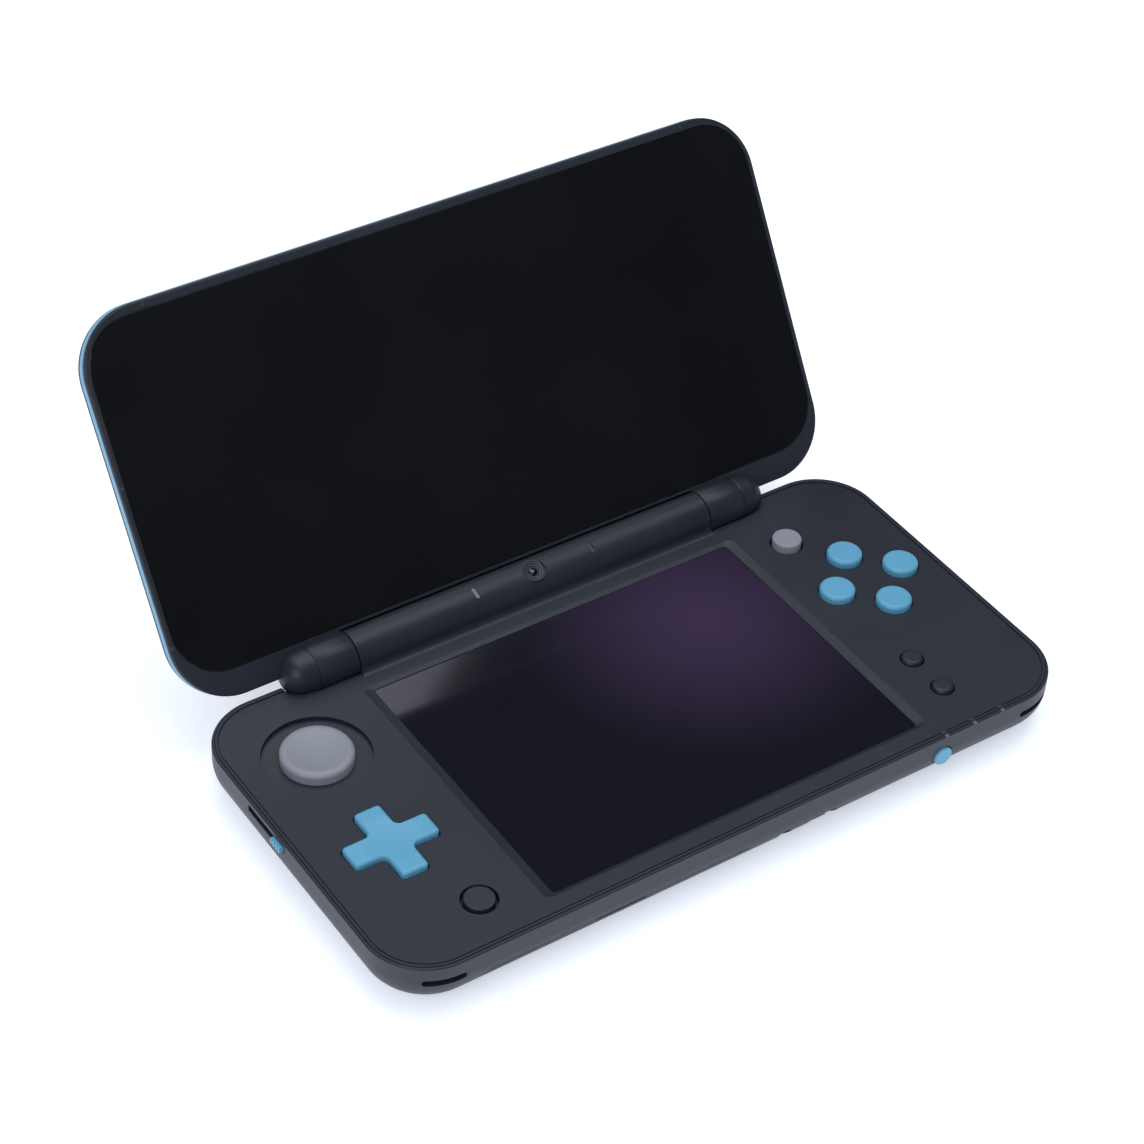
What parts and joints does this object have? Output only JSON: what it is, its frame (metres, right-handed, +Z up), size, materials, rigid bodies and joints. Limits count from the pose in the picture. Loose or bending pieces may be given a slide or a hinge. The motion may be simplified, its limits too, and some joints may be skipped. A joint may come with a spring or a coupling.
{
  "type": "handheld lcd game",
  "caption": "Clamshell handheld game: hinged lid with upper screen, base with touch screen, circle pad, cross pad, buttons, stylus and card door.",
  "frame": {"origin": "centre of the base's footprint, on the shell's flat underside; the rubber feet reach 0.4 mm below it", "axes": "+X to the player's right along the hinge, +Y to the rear, +Z up"},
  "size_m": [0.1608, 0.1289, 0.0809],
  "materials": {
    "shell_black": "fine matt grain",
    "cover_black": "matt, ribbed",
    "turquoise": "satin",
    "pad_grey": "satin",
    "screen_glass": "polished",
    "display": "dark display stack",
    "circuit_board": "green laminate",
    "silicone": "matt rubber",
    "sheet_metal": "pressed sheet",
    "inner_plastic": "moulded",
    "speaker_cloth": "fine mesh",
    "light_pipe": "translucent",
    "lens_glass": "polished lens",
    "battery_wrap": "foil pouch",
    "button_black": "satin"
  },
  "bodies": {
    "base": {"lower_shell": "shell_black", "upper_deck": "shell_black", "touch_panel": "screen_glass", "lower_lcd": "display", "screen_chassis": "sheet_metal", "mainboard": "circuit_board", "wireless_board": "circuit_board", "battery": "battery_wrap", "key_boards": "circuit_board", "near_field_antenna": "inner_plastic", "speakers": "inner_plastic", "speaker_meshes": "speaker_cloth", "circle_pad_module": "inner_plastic", "button_membranes": "silicone", "c_stick_nub": "pad_grey", "c_stick_sensor": "circuit_board", "card_sockets": "sheet_metal", "headphone_jack": "inner_plastic", "stylus_tube": "inner_plastic", "charge_port": "sheet_metal", "inner_camera": "inner_plastic", "camera_window": "screen_glass", "microphone": "button_black", "outer_cameras": "lens_glass", "light_pipes": "light_pipe", "hinge_cartridges": "sheet_metal", "display_cable_roll": "inner_plastic", "case_screws": "sheet_metal", "rubber_feet": "silicone"},
    "lid": {"lid_frame": "shell_black", "lid_glass": "screen_glass", "lid_rim": "turquoise", "lid_back_cover": "cover_black", "lid_back_panel": "cover_black", "upper_lcd": "display", "lid_chassis": "sheet_metal", "lid_cable": "inner_plastic", "lid_screws": "sheet_metal", "lid_bumpers": "silicone", "hinge_shafts": "sheet_metal"},
    "circle_pad_slider": {"circle_pad_slider": "inner_plastic"},
    "circle_pad": {"circle_pad_cap": "pad_grey", "circle_pad_skirt": "button_black"},
    "dpad_rocker": {"dpad_rocker": "inner_plastic"},
    "dpad": {"dpad": "turquoise"},
    "face_button_left": {"face_button_left": "turquoise"},
    "face_button_top": {"face_button_top": "turquoise"},
    "face_button_right": {"face_button_right": "turquoise"},
    "face_button_bottom": {"face_button_bottom": "turquoise"},
    "start_button": {"start_button": "button_black"},
    "select_button": {"select_button": "button_black"},
    "home_button": {"home_button": "button_black"},
    "power_button": {"power_button": "turquoise"},
    "volume_knob": {"volume_knob": "turquoise"},
    "shoulder_button_left": {"shoulder_button_left": "shell_black"},
    "shoulder_button_right": {"shoulder_button_right": "shell_black"},
    "trigger_button_left": {"trigger_button_left": "shell_black"},
    "trigger_button_right": {"trigger_button_right": "shell_black"},
    "card_door": {"card_door": "shell_black"},
    "stylus": {"stylus": "button_black"}
  },
  "joints": [
    {"name": "lid_hinge", "type": "hinge", "parent": "base", "child": "lid", "pos_m": [0, 0.0404, 0.0131], "axis": [1, 0, 0], "range_deg": [-32.5, 122.5]},
    {"name": "pad_left_right", "type": "slide", "parent": "base", "child": "circle_pad_slider", "axis": [1, 0, 0], "range_m": [-0.0023, 0.0023], "stiffness_N_per_m": 120},
    {"name": "pad_front_back", "type": "slide", "parent": "circle_pad_slider", "child": "circle_pad", "axis": [0, 1, 0], "range_m": [-0.0023, 0.0023], "stiffness_N_per_m": 120},
    {"name": "dpad_front_back", "type": "hinge", "parent": "base", "child": "dpad_rocker", "pos_m": [-0.06265, -0.0079, 0.00805], "axis": [1, 0, 0], "range_deg": [-3.5, 3.5], "stiffness_Nm_per_rad": 0.05},
    {"name": "dpad_left_right", "type": "hinge", "parent": "dpad_rocker", "child": "dpad", "pos_m": [-0.06265, -0.0079, 0.00805], "axis": [0, 1, 0], "range_deg": [-3.5, 3.5], "stiffness_Nm_per_rad": 0.05},
    {"name": "face_button_left_press", "type": "slide", "parent": "base", "child": "face_button_left", "axis": [0, 0, -1], "range_m": [0, 0.0009], "stiffness_N_per_m": 400},
    {"name": "face_button_top_press", "type": "slide", "parent": "base", "child": "face_button_top", "axis": [0, 0, -1], "range_m": [0, 0.0009], "stiffness_N_per_m": 400},
    {"name": "face_button_right_press", "type": "slide", "parent": "base", "child": "face_button_right", "axis": [0, 0, -1], "range_m": [0, 0.0009], "stiffness_N_per_m": 400},
    {"name": "face_button_bottom_press", "type": "slide", "parent": "base", "child": "face_button_bottom", "axis": [0, 0, -1], "range_m": [0, 0.0009], "stiffness_N_per_m": 400},
    {"name": "start_press", "type": "slide", "parent": "base", "child": "start_button", "axis": [0, 0, -1], "range_m": [0, 0.0006], "stiffness_N_per_m": 500},
    {"name": "select_press", "type": "slide", "parent": "base", "child": "select_button", "axis": [0, 0, -1], "range_m": [0, 0.0006], "stiffness_N_per_m": 500},
    {"name": "home_press", "type": "slide", "parent": "base", "child": "home_button", "axis": [0, 0, -1], "range_m": [0, 0.0006], "stiffness_N_per_m": 500},
    {"name": "power_press", "type": "slide", "parent": "base", "child": "power_button", "axis": [0, 1, 0], "range_m": [0, 0.0005], "stiffness_N_per_m": 600},
    {"name": "volume_slide", "type": "slide", "parent": "base", "child": "volume_knob", "axis": [0, 1, 0], "range_m": [0, 0.009]},
    {"name": "shoulder_left_press", "type": "hinge", "parent": "base", "child": "shoulder_button_left", "pos_m": [-0.0672, 0.0352, 0.0065], "axis": [0, 0, 1], "range_deg": [0, 2.4], "stiffness_Nm_per_rad": 0.6},
    {"name": "trigger_left_press", "type": "slide", "parent": "base", "child": "trigger_button_left", "axis": [0, -1, 0], "range_m": [0, 0.0008], "stiffness_N_per_m": 500},
    {"name": "shoulder_right_press", "type": "hinge", "parent": "base", "child": "shoulder_button_right", "pos_m": [0.0672, 0.0352, 0.0065], "axis": [0, 0, -1], "range_deg": [0, 2.4], "stiffness_Nm_per_rad": 0.6},
    {"name": "trigger_right_press", "type": "slide", "parent": "base", "child": "trigger_button_right", "axis": [0, -1, 0], "range_m": [0, 0.0008], "stiffness_N_per_m": 500},
    {"name": "card_door_hinge", "type": "hinge", "parent": "base", "child": "card_door", "pos_m": [-0.03175, -0.0348, 0.00114], "axis": [1, 0, 0], "range_deg": [0, 60]},
    {"name": "stylus_slide", "type": "slide", "parent": "base", "child": "stylus", "axis": [0, -1, 0], "range_m": [0, 0.07]}
  ]
}
